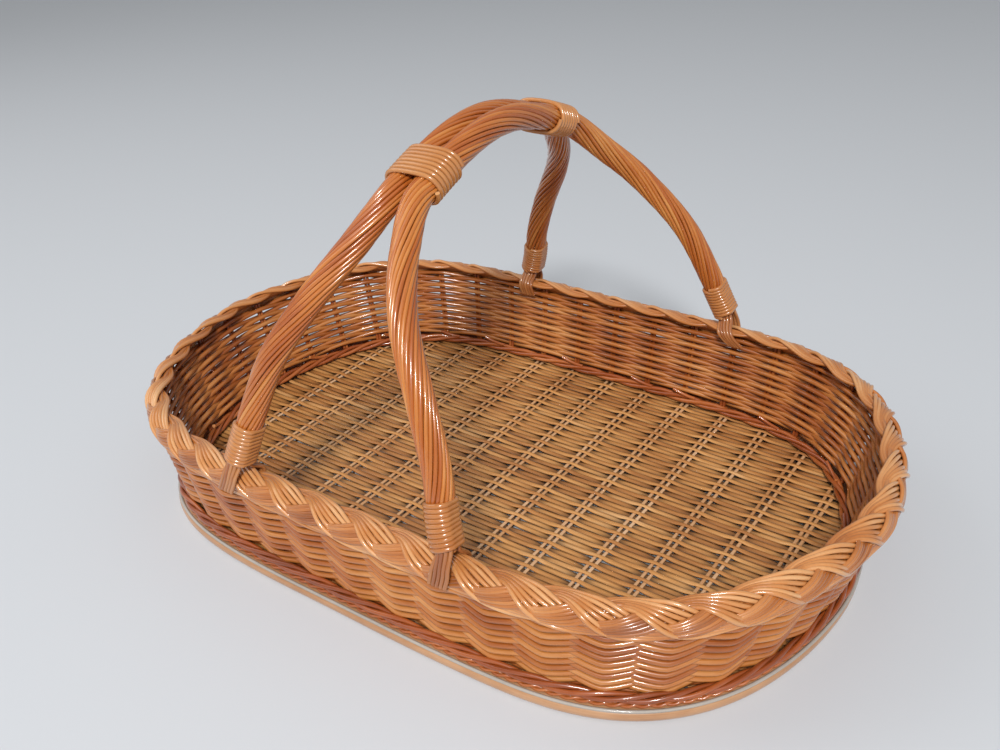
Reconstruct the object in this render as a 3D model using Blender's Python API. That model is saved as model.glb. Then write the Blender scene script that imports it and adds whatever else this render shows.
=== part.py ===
"""Oval wicker tray with a split overhead handle, about 560 mm long.

The tray stands on a bent rod hoop. A flat mat, woven over pairs of cross sticks, lies
inside the hoop. A thick band of waling turns the base up into a low flaring wall, and a
three-strand plait closes the wall. Two roped bows cross the tray from side to side: their
four legs stand apart on the border, and two bindings hold the bows side by side on top.
Each leg is bound above the border, and the ends of its rods go down over both sides of it.

X runs along the tray, Y across it from the near side to the far side, and Z is up. The
origin is on the ground under the middle of the tray. All lengths are in metres.
"""
import math
from functools import cache, lru_cache

import bmesh
import bpy
import numpy as np
from mathutils import Vector

# Room left between neighbouring pieces
CLEARANCE = 0.0003

# Outline of the tray, at the middle of the foot hoop and at the middle of the border
FOOT_HALF_LENGTH = 0.2500
FOOT_HALF_WIDTH = 0.1680
RIM_END_FLARE = 0.0185
RIM_SIDE_FLARE = 0.0020
RIM_HEIGHT = 0.0778
RIM_END_RISE = 0.0036

# How square the two outlines are: along the sides, and round the ends
FOOT_SIDE_POWER = 4.7
FOOT_END_POWER = 1.85
RIM_SIDE_POWER = 4.8
RIM_END_POWER = 1.6

# Bent rod that the tray stands on
HOOP_DIAMETER = 0.0085

# Mat: pairs of sticks across the tray, with rods woven over and under them
STICK_PAIR_COUNT = 13
STICK_PAIR_END_MARGIN = 0.0400
STICK_DIAMETER = 0.0040
STICK_END_INSET = 0.0015
MAT_ROD_THICKNESS = 0.0022
MAT_GROUND_GAP = 0.0028
MAT_RIDGE_FLANK = 0.0045

# Band of waling between the base and the wall
UPSETT_TOP = 0.0236
UPSETT_INSIDE = 0.0190
UPSETT_INNER_MIDDLE = 0.0158
UPSETT_OUTSIDE = 0.0016
UPSETT_BULGE = 0.0012

# Side weave, which sways out and in as it passes the upright stakes
STAKE_COUNT = 42
WEAVE_THICKNESS = 0.0056
STAKE_SWAY = 0.0011
WALL_FOOT_INSET = 0.0095

# Plaited border: three flat strands of rods
STRAND_COUNT = 3
STRAND_WIDTH = 0.0086
STRAND_THICKNESS = 0.0038
PLAIT_REACH = 0.0079
PLAIT_LIFT = 0.0036
PLAIT_TILT = math.radians(45.0)

# Handle: two roped bows, and where their four feet stand along the tray
HANDLE_TOP_HEIGHT = 0.2722
BOW_DIAMETER = 0.0170
BOW_FOOT_DIAMETER = 0.0130
BOW_TAPER_LENGTH = 0.0300
BOW_LOBE_COUNT = 7
BOW_LOBE_DEPTH = 0.0009
BOW_LAY_PITCH = 0.2000
NEAR_LEFT_FOOT = -0.0810
NEAR_RIGHT_FOOT = 0.0830
FAR_LEFT_FOOT = -0.0830
FAR_RIGHT_FOOT = 0.0960

# Course of a leg from its foot to the top of the handle, as shares of the rise, of the
# spread between foot and top, and of the distance from the tray's middle line
LEG_RISE_SHARES = (0.0, 0.082, 0.219, 0.398, 0.604, 0.768, 0.892)
LEG_SPREAD_SHARES = (1.0, 0.930, 0.831, 0.648, 0.340, 0.110, 0.0)
LEG_REACH_SHARES = (1.0, 0.980, 0.936, 0.887, 0.784, 0.627, 0.459)

# Bindings, each one rod wound round and round
TOP_BINDING_ROD = 0.0026
TOP_BINDING_PITCH = 0.0034
TOP_BINDING_REACH = 0.0650
NEAR_TOP_TURNS = 8
FAR_TOP_TURNS = 7
LEG_BINDING_ROD = 0.0026
LEG_BINDING_PITCH = 0.0034
LEG_BINDING_TURNS = 8
LEG_BINDING_LIFT = 0.0012

# Rod ends that leave a leg under its binding and lie over the border
TAIL_ROD = 0.0026
TAIL_ROD_COUNT = 5
TAIL_GROOVE_SHARE = 0.3
TAIL_BORDER_START = math.radians(40.0)
TAIL_BORDER_END = math.radians(-14.0)
TAIL_END_LENGTH = 0.0100
TAIL_CROWN_RADIUS = 0.0800
TAIL_TUCK = 0.0020

# Counts that set how finely round shapes are drawn
OUTLINE_SAMPLES = 4000
RING_STATIONS_PER_STAKE = 2
HOOP_SIDES = 8
PLAIT_STATIONS_PER_SWING = 12
STRAND_SIDES = 6
BOW_STATIONS = 33
PATH_SAMPLES = 400
STICK_SIDES = 6
LEG_LOOP_ARC_STEPS = 3
TOP_LOOP_END_STEPS = 4
TAIL_BORDER_STEPS = 2
WALL_TOP_TRIES = 14
OUTLINES_KEPT = 200
LOOP_BEVEL_RESOLUTION = 1
SMOOTH_ANGLE = math.radians(50.0)

FULL_TURN = 2 * math.pi
RIM_HALF_LENGTH = FOOT_HALF_LENGTH + RIM_END_FLARE
RIM_HALF_WIDTH = FOOT_HALF_WIDTH + RIM_SIDE_FLARE


def clear_scene():
    for old in list(bpy.data.objects):
        bpy.data.objects.remove(old, do_unlink=True)


def new_collection(name):
    made = bpy.data.collections.new(name)
    bpy.context.scene.collection.children.link(made)
    return made


def willow(name, colour, roughness):
    """A varnished willow finish."""
    material = bpy.data.materials.new(name)
    material.use_nodes = True
    shader = material.node_tree.nodes["Principled BSDF"]
    shader.inputs["Base Color"].default_value = (*colour, 1.0)
    shader.inputs["Roughness"].default_value = roughness
    shader.inputs["Metallic"].default_value = 0.0
    return material


def file_object(obj, collection, material=None):
    """Put an object in one collection and give it its finish."""
    for holder in list(obj.users_collection):
        holder.objects.unlink(obj)
    collection.objects.link(obj)
    if material is not None:
        obj.data.materials.clear()
        obj.data.materials.append(material)
    return obj


def loft(name, rings, closed, collection, material):
    """A skin over equal rings of points; an open run of rings gets a flat cap at each end."""
    shape = bmesh.new()
    layers = [[shape.verts.new(point) for point in ring] for ring in rings]
    sides = len(layers[0])
    pairs = list(zip(layers, layers[1:]))
    if closed:
        pairs.append((layers[-1], layers[0]))
    for lower, upper in pairs:
        for k in range(sides):
            after = (k + 1) % sides
            shape.faces.new((lower[k], lower[after], upper[after], upper[k]))
    if not closed:
        shape.faces.new(layers[0][::-1])
        shape.faces.new(layers[-1])
    bmesh.ops.recalc_face_normals(shape, faces=shape.faces)
    mesh = bpy.data.meshes.new(name)
    shape.to_mesh(mesh)
    shape.free()
    mesh.shade_smooth()
    mesh.set_sharp_from_angle(angle=SMOOTH_ANGLE)
    return file_object(bpy.data.objects.new(name, mesh), collection, material)


def cut(target, cutter, operation):
    """Apply a Boolean at once, so that later steps see its result."""
    modifier = target.modifiers.new(operation.title(), "BOOLEAN")
    modifier.operation = operation
    modifier.solver = "EXACT"
    modifier.object = cutter
    cutter.hide_render = True
    cutter.display_type = "WIRE"
    bpy.context.view_layer.update()
    result = bpy.data.meshes.new_from_object(
        target.evaluated_get(bpy.context.evaluated_depsgraph_get()))
    target.modifiers.remove(modifier)
    target.data = result


def level_of(height):
    """0 at the ground and 1 at the middle of the border."""
    return height / RIM_HEIGHT


def between(start, end, share):
    return start + (end - start) * share


@lru_cache(maxsize=OUTLINES_KEPT)
def outline(level):
    """Points and outward directions of the tray's outline at one level.

    The outline is a superellipse with one power for its sides and one for its ends. It
    starts at the middle of the near side and runs counter-clockwise seen from above. The
    first column is the share of the way round.
    """
    half_length = between(FOOT_HALF_LENGTH, RIM_HALF_LENGTH, level)
    half_width = between(FOOT_HALF_WIDTH, RIM_HALF_WIDTH, level)
    side_power = between(FOOT_SIDE_POWER, RIM_SIDE_POWER, level)
    end_power = between(FOOT_END_POWER, RIM_END_POWER, level)
    angle = np.linspace(-math.pi / 2, 3 * math.pi / 2, OUTLINE_SAMPLES + 1)
    cosine, sine = np.cos(angle), np.sin(angle)
    x = half_length * np.sign(cosine) * np.abs(cosine) ** (2 / side_power)
    y = half_width * np.sign(sine) * np.abs(sine) ** (2 / end_power)
    out_x = np.sign(x) * np.abs(x / half_length) ** (side_power - 1) * side_power / half_length
    out_y = np.sign(y) * np.abs(y / half_width) ** (end_power - 1) * end_power / half_width
    size = np.hypot(out_x, out_y)
    run = np.concatenate(([0.0], np.cumsum(np.hypot(np.diff(x), np.diff(y)))))
    return np.column_stack((run / run[-1], x, y, out_x / size, out_y / size))


def wall_frame(share, height):
    """The point of the outline at a height and a share of the way round, and its outward way."""
    level = level_of(height)
    table = outline(level)
    turn = share % 1.0
    x, y, out_x, out_y = (np.interp(turn, table[:, 0], table[:, k]) for k in range(1, 5))
    rise = RIM_END_RISE * (x / RIM_HALF_LENGTH) ** 2 * level ** 2
    return Vector((x, y, height + rise)), Vector((out_x, out_y, 0.0)).normalized()


def wall_point(share, height, offset):
    """A point that lies offset outside the outline at a height."""
    point, outward = wall_frame(share, height)
    return point + outward * offset


def ring_shares():
    """Stations round the tray, on the stakes and midway between them."""
    count = STAKE_COUNT * RING_STATIONS_PER_STAKE
    return [k / count for k in range(count)]


def foot_hoop(collection, material):
    """The rod hoop, with a flat underneath to stand on."""
    radius = HOOP_DIAMETER / 2
    corner = radius / math.cos(math.pi / HOOP_SIDES)
    rings = []
    for share in ring_shares():
        middle, outward = wall_frame(share, 0.0)
        ring = []
        for k in range(HOOP_SIDES):
            turn = FULL_TURN * (k + 0.5) / HOOP_SIDES
            ring.append(middle + outward * (corner * math.cos(turn))
                        + Vector((0.0, 0.0, radius + corner * math.sin(turn))))
        rings.append(ring)
    loft("foot_hoop", rings, True, collection, material)


def mat_edge():
    """How far the mat's edge lies inside the foot outline: just inside the hoop."""
    corner = HOOP_DIAMETER / 2 / math.cos(math.pi / HOOP_SIDES)
    return corner + CLEARANCE


def mat_thickness():
    return STICK_DIAMETER + 2 * CLEARANCE + 2 * MAT_ROD_THICKNESS


def mat_top():
    return MAT_GROUND_GAP + mat_thickness()


def stick_height():
    return MAT_GROUND_GAP + mat_thickness() / 2


def stick_pair_places():
    last = FOOT_HALF_LENGTH - STICK_PAIR_END_MARGIN
    return [between(-last, last, k / (STICK_PAIR_COUNT - 1)) for k in range(STICK_PAIR_COUNT)]


def channel_half_width():
    """Half the width of the room for a pair of sticks side by side."""
    return STICK_DIAMETER + CLEARANCE / 2 + CLEARANCE


def base_weave(collection, cutters, material):
    """The woven mat: ridged over each pair of sticks, thin between pairs, tunnelled for them."""
    count = STAKE_COUNT * RING_STATIONS_PER_STAKE
    slab = []
    for height in (MAT_GROUND_GAP, mat_top()):
        ring = []
        for k in range(count):
            point = wall_point(k / count, 0.0, -mat_edge())
            ring.append(Vector((point.x, point.y, height)))
        slab.append(ring)
    mat = loft("base_weave", slab, False, collection, material)

    thin = MAT_ROD_THICKNESS
    crest = channel_half_width()
    valley = crest + MAT_RIDGE_FLANK
    overrun = MAT_ROD_THICKNESS
    top_side = []
    for place in stick_pair_places():
        top_side += [(place - valley, thin), (place - crest, mat_thickness() / 2 + overrun),
                     (place + crest, mat_thickness() / 2 + overrun), (place + valley, thin)]
    ends = FOOT_HALF_LENGTH + overrun
    upper = [(-ends, thin)] + top_side + [(ends, thin)]
    lower = [(x, -z) for x, z in reversed(upper)]
    profile = upper + lower
    rings = []
    for y in (-FOOT_HALF_WIDTH - overrun, FOOT_HALF_WIDTH + overrun):
        rings.append([Vector((x, y, stick_height() + z)) for x, z in profile])
    waves = loft("mat_waves", rings, False, cutters, None)
    cut(mat, waves, "INTERSECT")

    channel_height = STICK_DIAMETER + 2 * CLEARANCE
    for number, place in enumerate(stick_pair_places(), 1):
        bpy.ops.mesh.primitive_cube_add(size=1.0, location=(place, 0.0, stick_height()))
        room = bpy.context.object
        room.name = f"stick_room_{number:02d}"
        room.scale = (2 * channel_half_width(), 2 * ends, channel_height)
        bpy.ops.object.transform_apply(location=False, rotation=False, scale=True)
        file_object(room, cutters)
        cut(mat, room, "DIFFERENCE")


def half_width_at(x, table, inset):
    """Distance from the long middle line to an outline moved inwards, at one x."""
    side = table[(table[:, 1] >= -FOOT_HALF_LENGTH) & (table[:, 2] > 0.0)]
    edge_x = side[:, 1] - side[:, 3] * inset
    edge_y = side[:, 2] - side[:, 4] * inset
    order = np.argsort(edge_x)
    return float(np.interp(x, edge_x[order], edge_y[order]))


def base_sticks(collection, material):
    """Pairs of round sticks in the tunnels of the mat."""
    table = outline(0.0)
    spacing = STICK_DIAMETER + CLEARANCE
    number = 0
    for place in stick_pair_places():
        for side in (-1, 1):
            number += 1
            x = place + side * spacing / 2
            reach = half_width_at(abs(x) + STICK_DIAMETER, table, mat_edge())
            bpy.ops.mesh.primitive_cylinder_add(
                vertices=STICK_SIDES, radius=STICK_DIAMETER / 2,
                depth=2 * (reach - STICK_END_INSET), location=(x, 0.0, stick_height()),
                rotation=(math.pi / 2, 0.0, 0.0))
            stick = bpy.context.object
            stick.name = f"base_stick_{number:02d}"
            stick.data.shade_smooth()
            stick.data.set_sharp_from_angle(angle=SMOOTH_ANGLE)
            file_object(stick, collection, material)


def wall_middle(height):
    """Offset of the middle of the wall, which leans out to stand under the border."""
    return -WALL_FOOT_INSET * (1 - level_of(height))


def upsett_band(collection, material):
    """The thick band that rests on the mat's edge and on the hoop and carries the wall."""
    seat = mat_top() + CLEARANCE
    hoop_top = HOOP_DIAMETER + CLEARANCE
    step = -mat_edge()
    middle = (seat + UPSETT_TOP) / 2
    half_top = WEAVE_THICKNESS / 2 + STAKE_SWAY + UPSETT_BULGE
    lean = wall_middle(UPSETT_TOP)
    rings = []
    for share in ring_shares():
        section = [
            (-UPSETT_INSIDE, seat), (step, seat), (step, hoop_top), (UPSETT_OUTSIDE, hoop_top),
            (UPSETT_OUTSIDE + UPSETT_BULGE, middle), (lean + half_top, UPSETT_TOP),
            (lean - half_top, UPSETT_TOP),
            (-UPSETT_INNER_MIDDLE, middle)]
        rings.append([wall_point(share, height, offset) for offset, height in section])
    loft("upsett_band", rings, True, collection, material)


def under_plait(share, offset):
    """Height at which an upright face of the wall comes up against the plait's underside."""
    middle, _, facing = plait_frame(share)
    clear, touching = UPSETT_TOP, RIM_HEIGHT
    for _ in range(WALL_TOP_TRIES):
        height = (clear + touching) / 2
        point = wall_point(share, height, wall_middle(height) + offset)
        if (middle - point).dot(facing) > plait_underside():
            clear = height
        else:
            touching = height
    return clear


def side_weave(collection, material):
    """The woven wall, which sways out and in by turns as its rods pass round the stakes."""
    bottom = UPSETT_TOP + CLEARANCE
    half = WEAVE_THICKNESS / 2
    rings = []
    for k, share in enumerate(ring_shares()):
        stake, past_stake = divmod(k, RING_STATIONS_PER_STAKE)
        sway = 0.0 if past_stake else STAKE_SWAY * (-1) ** stake
        ring = []
        for side in (1, -1):
            top = under_plait(share, side * half + sway)
            levels = [(bottom, sway), (between(bottom, top, 1 / 2), -sway), (top, sway)]
            if side < 0:
                levels.reverse()
            ring += [wall_point(share, height, wall_middle(height) + side * half + out)
                     for height, out in levels]
        rings.append(ring)
    loft("side_weave", rings, True, collection, material)


def plait_frame(share):
    """Middle of the plait, the way across it to its lower outer edge, and its face's way."""
    middle, outward = wall_frame(share, RIM_HEIGHT)
    up = Vector((0.0, 0.0, 1.0))
    across = outward * math.cos(PLAIT_TILT) - up * math.sin(PLAIT_TILT)
    facing = outward * math.sin(PLAIT_TILT) + up * math.cos(PLAIT_TILT)
    return middle, across, facing


def strand_point(share, strand):
    """A strand swings from edge to edge once in three pitches and twice as often up and down."""
    turn = FULL_TURN * (share * STAKE_COUNT + strand) / STRAND_COUNT
    middle, across, facing = plait_frame(share)
    return (middle + across * (PLAIT_REACH * math.sin(turn))
            - facing * (PLAIT_LIFT * math.sin(2 * turn)))


def strand_rings(strand):
    """Flat rings of points along a strand, each square to its course."""
    count = STAKE_COUNT // STRAND_COUNT * PLAIT_STATIONS_PER_SWING
    step = 1 / count
    highest = max(math.sin(FULL_TURN * side / STRAND_SIDES) for side in range(STRAND_SIDES))
    rings = []
    for k in range(count):
        share = k * step
        point = strand_point(share, strand)
        forward = strand_point(share + step / 2, strand) - strand_point(share - step / 2, strand)
        forward.normalize()
        facing = plait_frame(share)[2]
        facing = (facing - forward * facing.dot(forward)).normalized()
        wide = forward.cross(facing)
        ring = []
        for side in range(STRAND_SIDES):
            turn = FULL_TURN * side / STRAND_SIDES
            ring.append(point + wide * (STRAND_WIDTH / 2 * math.cos(turn))
                        + facing * (STRAND_THICKNESS / 2 * math.sin(turn) / highest))
        rings.append(ring)
    return rings


def border_strands(collection, material):
    for strand in range(STRAND_COUNT):
        loft(f"border_strand_{strand + 1}", strand_rings(strand), True, collection, material)


@cache
def plait_radius():
    """The farthest that any strand comes from the middle of the plait, with its clearance."""
    farthest = 0.0
    for strand in range(STRAND_COUNT):
        rings = strand_rings(strand)
        for k, ring in enumerate(rings):
            middle = plait_frame(k / len(rings))[0]
            farthest = max(farthest, max((point - middle).length for point in ring))
    return farthest + CLEARANCE


@cache
def plait_underside():
    """The farthest that any strand comes below the middle of the plait, with its clearance."""
    lowest = 0.0
    for strand in range(STRAND_COUNT):
        rings = strand_rings(strand)
        for k, ring in enumerate(rings):
            middle, _, facing = plait_frame(k / len(rings))
            lowest = max(lowest, max((middle - point).dot(facing) for point in ring))
    return lowest + CLEARANCE


def smooth_path(points):
    """A closely sampled curve through the points, with its running length in column 0.

    Each coordinate turns back only at a point, so the curve never swings past its points.
    """
    knots = np.array([tuple(point) for point in points])
    chord = np.concatenate(([0.0], np.cumsum(np.linalg.norm(np.diff(knots, axis=0), axis=1))))
    rate = np.diff(knots, axis=0) / np.diff(chord)[:, None]
    before, after = rate[:-1], rate[1:]
    alike = before * after > 0
    mean = 2 * before * after / np.where(alike, before + after, 1.0)
    slopes = np.vstack((rate[:1], np.where(alike, mean, 0.0), rate[-1:]))
    places = np.linspace(0.0, chord[-1], PATH_SAMPLES + 1)
    index = np.clip(np.searchsorted(chord, places, side="right") - 1, 0, len(knots) - 2)
    span = (chord[index + 1] - chord[index])[:, None]
    part = (places - chord[index])[:, None] / span
    curve = ((2 * part ** 3 - 3 * part ** 2 + 1) * knots[index]
             + (part ** 3 - 2 * part ** 2 + part) * span * slopes[index]
             + (3 * part ** 2 - 2 * part ** 3) * knots[index + 1]
             + (part ** 3 - part ** 2) * span * slopes[index + 1])
    run = np.concatenate(([0.0], np.cumsum(np.linalg.norm(np.diff(curve, axis=0), axis=1))))
    return np.column_stack((run, curve))


def path_point(path, place):
    return Vector([float(np.interp(place, path[:, 0], path[:, k])) for k in range(1, 4)])


def path_frame(path, place):
    """Point, way forward, way sideways (near +X) and the third way on a bow's path."""
    step = path[-1, 0] / PATH_SAMPLES
    low = min(max(place - step, 0.0), path[-1, 0] - 2 * step)
    forward = (path_point(path, low + 2 * step) - path_point(path, low)).normalized()
    sideways = Vector((1.0, 0.0, 0.0))
    sideways = (sideways - forward * sideways.dot(forward)).normalized()
    return path_point(path, place), forward, sideways, forward.cross(sideways)


def bow_spacing():
    """Distance between the two bows' middles where they run side by side."""
    return BOW_DIAMETER + CLEARANCE


def foot_station(x, far):
    """Share of the way round the border at which a foot stands."""
    table = outline(1.0)
    half = table[table[:, 2] > 0.0] if far else table[table[:, 2] < 0.0]
    if not far:
        half = np.vstack((half[half[:, 0] > 0.5] - [1.0, 0, 0, 0, 0], half[half[:, 0] <= 0.5]))
    order = np.argsort(half[:, 1])
    return float(np.interp(x, half[order, 1], half[order, 0]))


def foot_height():
    """Height of a bow's foot, just clear of the plait."""
    return RIM_HEIGHT + RIM_END_RISE * (FAR_RIGHT_FOOT / RIM_HALF_LENGTH) ** 2 + plait_radius()


def leg_points(foot_x, far, side):
    """Points of one leg from its foot up to the last one before the top."""
    station = wall_frame(foot_station(foot_x, far), RIM_HEIGHT)[0]
    top_x = side * bow_spacing() / 2
    points = []
    for rise, spread, reach in zip(LEG_RISE_SHARES, LEG_SPREAD_SHARES, LEG_REACH_SHARES):
        points.append(Vector((between(top_x, foot_x, spread), station.y * reach,
                              between(foot_height(), HANDLE_TOP_HEIGHT, rise))))
    return points


def bow_path(near_foot, far_foot, side):
    near = leg_points(near_foot, False, side)
    far = leg_points(far_foot, True, side)
    top = Vector((side * bow_spacing() / 2, 0.0, HANDLE_TOP_HEIGHT))
    return smooth_path(near + [top] + far[::-1])


def pair_path():
    """The line midway between the bows, which the top bindings follow."""
    near = leg_points(NEAR_RIGHT_FOOT, False, 1)
    far = leg_points(NEAR_RIGHT_FOOT, True, 1)
    top = Vector((0.0, 0.0, HANDLE_TOP_HEIGHT))
    middle = [Vector((0.0, point.y, point.z)) for point in near]
    back = [Vector((0.0, point.y, point.z)) for point in far[::-1]]
    return smooth_path(middle + [top] + back)


def bow_radius(place, length):
    """Radius over the lobes: thinner at a foot, where rods leave the bundle as tails."""
    from_foot = min(place, length - place)
    bound = LEG_BINDING_LIFT + LEG_BINDING_PITCH * (LEG_BINDING_TURNS + 1)
    share = min(max((from_foot - bound) / BOW_TAPER_LENGTH, 0.0), 1.0)
    return between(BOW_FOOT_DIAMETER, BOW_DIAMETER, share) / 2


def roped_bow(name, path, collection, material):
    """A bundle of rods laid round each other: a lobed section that turns as it goes."""
    length = path[-1, 0]
    sides = 2 * BOW_LOBE_COUNT
    rings = []
    for k in range(BOW_STATIONS):
        place = length * k / (BOW_STATIONS - 1)
        point, _, sideways, third = path_frame(path, place)
        crest = bow_radius(place, length)
        lay = FULL_TURN * place / BOW_LAY_PITCH
        ring = []
        for side in range(sides):
            radius = crest - (BOW_LOBE_DEPTH if side % 2 else 0.0)
            turn = FULL_TURN * side / sides + lay
            ring.append(point + sideways * (radius * math.cos(turn))
                        + third * (radius * math.sin(turn)))
        rings.append(ring)
    loft(name, rings, False, collection, material)


def wound_rod(name, points, diameter, loop_points, collection, material):
    """One unbroken rod along the points; its least gap to itself is printed."""
    bend = bpy.data.curves.new(name, "CURVE")
    bend.dimensions = "3D"
    bend.bevel_depth = diameter / 2
    bend.bevel_resolution = LOOP_BEVEL_RESOLUTION
    bend.use_fill_caps = True
    spline = bend.splines.new("POLY")
    spline.points.add(len(points) - 1)
    for knot, point in zip(spline.points, points):
        knot.co = (*point, 1.0)
    file_object(bpy.data.objects.new(name, bend), collection, material)
    spots = np.array([tuple(point) for point in points])
    apart = np.linalg.norm(spots[:, None] - spots[None, :], axis=2)
    order = np.arange(len(spots))
    other_turn = np.abs(order[:, None] - order[None, :]) >= loop_points // 2
    least = float(apart[other_turn].min()) - diameter
    print(f"{name}: least gap to itself {least * 1000:.2f} mm")


def tidy_ends(points, diameter):
    """Make the first and last stretch straight for one rod diameter."""
    first = (points[0] - points[1]).normalized() * diameter
    last = (points[-1] - points[-2]).normalized() * diameter
    return [points[0] + first] + points + [points[-1] + last]


def tail_ring():
    """Radius, about a leg's middle line, on which the middles of its tail rods lie."""
    return BOW_FOOT_DIAMETER / 2 + CLEARANCE + TAIL_ROD / 2


def leg_loop_corners():
    """Corners of one turn: round over both tails, and straight past the sides of the leg."""
    half_side = BOW_FOOT_DIAMETER / 2 + CLEARANCE + LEG_BINDING_ROD / 2
    radius = tail_ring() + TAIL_ROD / 2 + CLEARANCE + LEG_BINDING_ROD / 2
    edge = math.asin(half_side / radius)
    radius /= math.cos(edge / LEG_LOOP_ARC_STEPS)
    corners = []
    for side in (1, -1):
        for step in range(LEG_LOOP_ARC_STEPS + 1):
            turn = between(-edge, edge, step / LEG_LOOP_ARC_STEPS)
            corners.append((-side * radius * math.sin(turn), side * radius * math.cos(turn)))
    return corners


def leg_binding(name, path, from_far, collection, material):
    """Turns round the foot of a leg and round the tails that leave it there."""
    corners = leg_loop_corners()
    points = []
    for k in range(LEG_BINDING_TURNS * len(corners) + 1):
        place = LEG_BINDING_LIFT + LEG_BINDING_ROD / 2 + LEG_BINDING_PITCH * k / len(corners)
        if from_far:
            place = path[-1, 0] - place
        middle, _, sideways, third = path_frame(path, place)
        across, along = corners[k % len(corners)]
        points.append(middle + sideways * across + third * along)
    points = tidy_ends(points, LEG_BINDING_ROD)
    wound_rod(name, points, LEG_BINDING_ROD, len(corners), collection, material)


def top_loop_corners():
    """Corners of one turn round both bows, as sideways and third distances."""
    radius = BOW_DIAMETER / 2 + CLEARANCE + TOP_BINDING_ROD / 2
    radius /= math.cos(math.pi / (2 * TOP_LOOP_END_STEPS))
    corners = []
    for side in (1, -1):
        for step in range(TOP_LOOP_END_STEPS + 1):
            turn = math.pi * (step / TOP_LOOP_END_STEPS - 0.5)
            corners.append((side * (bow_spacing() / 2 + radius * math.cos(turn)),
                            side * radius * math.sin(turn)))
    return corners


def top_binding(name, path, turns, side, collection, material):
    """Turns round both bows where they meet, at one end of the stretch that they share."""
    corners = top_loop_corners()
    reach = np.interp(side * TOP_BINDING_REACH, path[:, 2], path[:, 0])
    start = reach - TOP_BINDING_PITCH * turns / 2
    points = []
    for k in range(turns * len(corners) + 1):
        middle, _, sideways, third = path_frame(path, start + TOP_BINDING_PITCH * k / len(corners))
        across, along = corners[k % len(corners)]
        points.append(middle + sideways * across + third * along)
    points = tidy_ends(points, TOP_BINDING_ROD)
    wound_rod(name, points, TOP_BINDING_ROD, len(corners), collection, material)


def tail_course(path, from_far, outer):
    """Stations of a tail: its middle, its width's way, its outer face's way and its radius.

    It comes down the leg under the binding, curled round the leg, and then opens out nearly
    flat over the border.
    """
    length = path[-1, 0]
    bound_top = LEG_BINDING_LIFT + LEG_BINDING_PITCH * LEG_BINDING_TURNS - TAIL_TUCK
    foot = path_point(path, length if from_far else 0.0)
    middle, outward = wall_frame(foot_station(foot.x, from_far), RIM_HEIGHT)
    up = Vector((0.0, 0.0, 1.0))
    sign = 1 if outer else -1
    course = []
    for place in (bound_top, bound_top / 2, LEG_BINDING_LIFT):
        spot, _, sideways, third = path_frame(path, length - place if from_far else place)
        away = third if third.dot(outward) * sign > 0 else -third
        course.append((spot + away * tail_ring(), sideways, away, tail_ring()))
    half_step = (TAIL_BORDER_START - TAIL_BORDER_END) / TAIL_BORDER_STEPS / 2
    round_border = plait_radius() / math.cos(half_step) + TAIL_ROD / 2
    along = outward.cross(up) if from_far else up.cross(outward)
    for step in range(TAIL_BORDER_STEPS + 1):
        turn = between(TAIL_BORDER_START, TAIL_BORDER_END, step / TAIL_BORDER_STEPS)
        away = outward * (sign * math.cos(turn)) + up * math.sin(turn)
        course.append((middle + away * round_border, along, away, TAIL_CROWN_RADIUS))
    onward = outward * (sign * math.sin(turn)) - up * math.cos(turn)
    end = middle + away * round_border + onward * TAIL_END_LENGTH
    course.append((end, along, away, TAIL_CROWN_RADIUS))
    return course


def curled(spot, along, away, radius, offset, lift):
    """A point of a tail, at an offset across its curled width and a lift off its middle."""
    turn = offset / radius
    axis = spot - away * radius
    return axis + (away * math.cos(turn) + along * math.sin(turn)) * (radius + lift)


def rod_tail(name, path, from_far, outer, collection, material):
    """A flat group of rod ends side by side, ridged along each rod."""
    edges = 2 * TAIL_ROD_COUNT
    rings = []
    for spot, along, away, radius in tail_course(path, from_far, outer):
        ring = []
        for edge in range(edges + 1):
            lift = TAIL_ROD / 2 if edge % 2 else TAIL_ROD * TAIL_GROOVE_SHARE
            if edge in (0, edges):
                lift = 0.0
            offset = TAIL_ROD * (edge - TAIL_ROD_COUNT) / 2
            ring.append(curled(spot, along, away, radius, offset, lift))
        for rod in range(TAIL_ROD_COUNT):
            offset = TAIL_ROD * ((TAIL_ROD_COUNT - 1) / 2 - rod)
            ring.append(curled(spot, along, away, radius, offset, -TAIL_ROD / 2))
        rings.append(ring)
    loft(name, rings, False, collection, material)


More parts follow.
